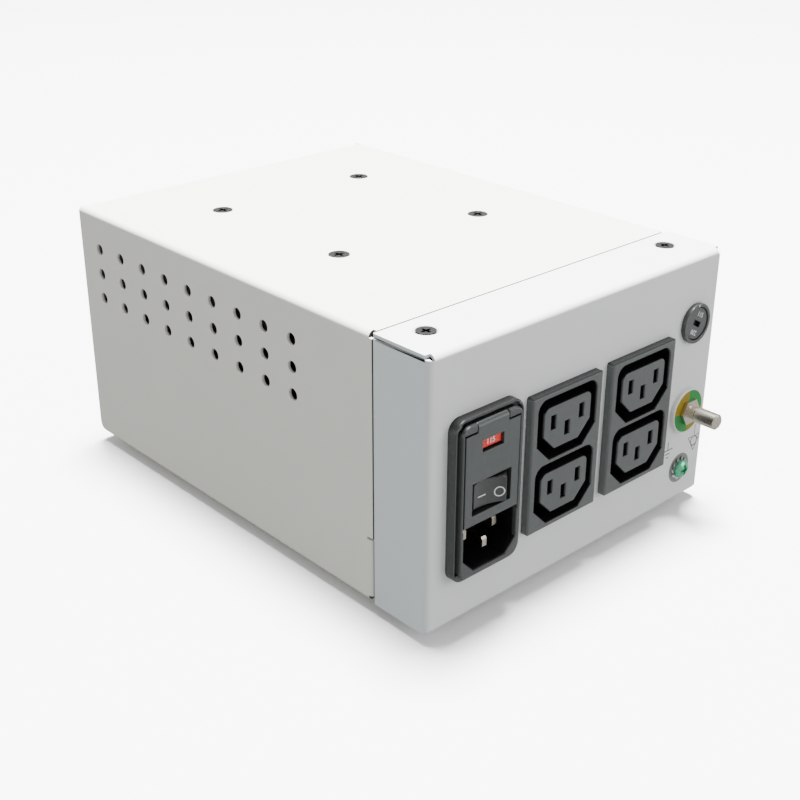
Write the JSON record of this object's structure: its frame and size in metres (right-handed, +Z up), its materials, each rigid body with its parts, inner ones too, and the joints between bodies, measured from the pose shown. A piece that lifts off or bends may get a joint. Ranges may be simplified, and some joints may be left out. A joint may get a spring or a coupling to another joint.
{
  "type": "isolation transformer",
  "caption": "Compact isolation transformer: folded steel case with power inlet, fuse door, rocker switch, outlets, voltage selector, bonding pin, earth screw and wound core inside.",
  "frame": {"origin": "on the floor, under the middle of the whole part from the pin tip to the rear", "axes": "+Z up, -Y out of the front panel, +X to the right seen from the front"},
  "size_m": [0.146, 0.214, 0.1025],
  "materials": {
    "case_powder": "fine textured powder coat, warm light grey",
    "zinc_plate": "bright zinc plated sheet",
    "zinc_hardware": "zinc plated screws and nuts",
    "black_screw": "black oxide, slight sheen",
    "foot_rubber": "matte black rubber",
    "module_grey": "dark grey moulded plastic",
    "door_grey": "dark grey moulded plastic",
    "outlet_grey": "grey moulded plastic",
    "rocker_grey": "dark grey satin plastic",
    "inner_black": "black moulded plastic",
    "nickel": "nickel plated brass",
    "brass_contact": "bare brass",
    "steel_pin": "ground steel",
    "fuse_glass": "clear glass tube",
    "window_red": "glossy red plastic",
    "selector_grey": "dark grey moulded plastic",
    "earth_disc": "green and yellow printed plastic",
    "earth_green": "green passivated screw",
    "core_steel": "varnished electrical steel laminations",
    "bobbin_nylon": "natural moulded nylon",
    "primary_copper": "enamelled copper winding under film",
    "secondary_copper": "enamelled copper winding",
    "plug_red": "red insulating sleeve",
    "wire_brown": "brown insulated wire",
    "wire_black": "black insulated wire",
    "wire_orange": "orange insulated wire",
    "wire_green": "green and yellow insulated wire"
  },
  "bodies": {
    "chassis": {"housing_cover": "case_powder", "seam_strip": "zinc_plate", "front_pan": "case_powder", "base_plate": "zinc_plate", "rubber_feet": "foot_rubber", "foot_screws": "zinc_hardware", "foot_nuts": "zinc_hardware", "base_screws": "black_screw", "base_nuts": "zinc_hardware", "top_screws": "black_screw", "top_nuts": "zinc_hardware", "pan_screws": "black_screw", "inlet_body": "module_grey", "inlet_pins": "nickel", "switch_frame": "inner_black", "switch_terminals": "zinc_hardware", "rocker_pivot": "steel_pin", "door_hinge_pin": "steel_pin", "fuse_carrier": "inner_black", "fuse_tubes": "fuse_glass", "fuse_caps": "nickel", "voltage_insert": "window_red", "outlet_block_left": "outlet_grey", "outlet_block_right": "outlet_grey", "outlet_contacts": "brass_contact", "selector_body": "selector_grey", "selector_terminals": "zinc_hardware", "bonding_pin": "nickel", "bonding_disc": "earth_disc", "bonding_lug": "zinc_hardware", "bonding_nut": "zinc_hardware", "earth_screw": "earth_green", "earth_star_washer": "zinc_hardware", "earth_lug": "zinc_hardware", "earth_nut": "zinc_hardware", "core_stack": "core_steel", "bobbin": "bobbin_nylon", "primary_winding": "primary_copper", "secondary_winding": "secondary_copper", "bracket_front": "zinc_plate", "bracket_rear": "zinc_plate", "core_bolts": "zinc_hardware", "core_nuts": "zinc_hardware", "winding_tags": "brass_contact", "wire_receptacles": "plug_red", "input_wires": "wire_brown", "output_wires": "wire_black", "selector_wires": "wire_orange", "earth_wires": "wire_green"},
    "fuse_door_body": {"fuse_door": "door_grey"},
    "rocker_body": {"rocker": "rocker_grey"},
    "selector_body_rotor": {"selector_rotor": "selector_grey"}
  },
  "joints": [
    {"name": "rocker_hinge", "type": "hinge", "parent": "chassis", "child": "rocker_body", "pos_m": [-0.0498, -0.09265, 0.05105], "axis": [0, 0, 1], "range_deg": [0, 26]},
    {"name": "fuse_door_hinge", "type": "hinge", "parent": "chassis", "child": "fuse_door_body", "pos_m": [-0.0498, -0.0955, 0.0759], "axis": [-1, 0, 0], "range_deg": [0, 100]},
    {"name": "selector_turn", "type": "hinge", "parent": "chassis", "child": "selector_body_rotor", "pos_m": [0.0594, -0.092, 0.0771], "axis": [0, -1, 0], "range_deg": [0, 180]}
  ]
}
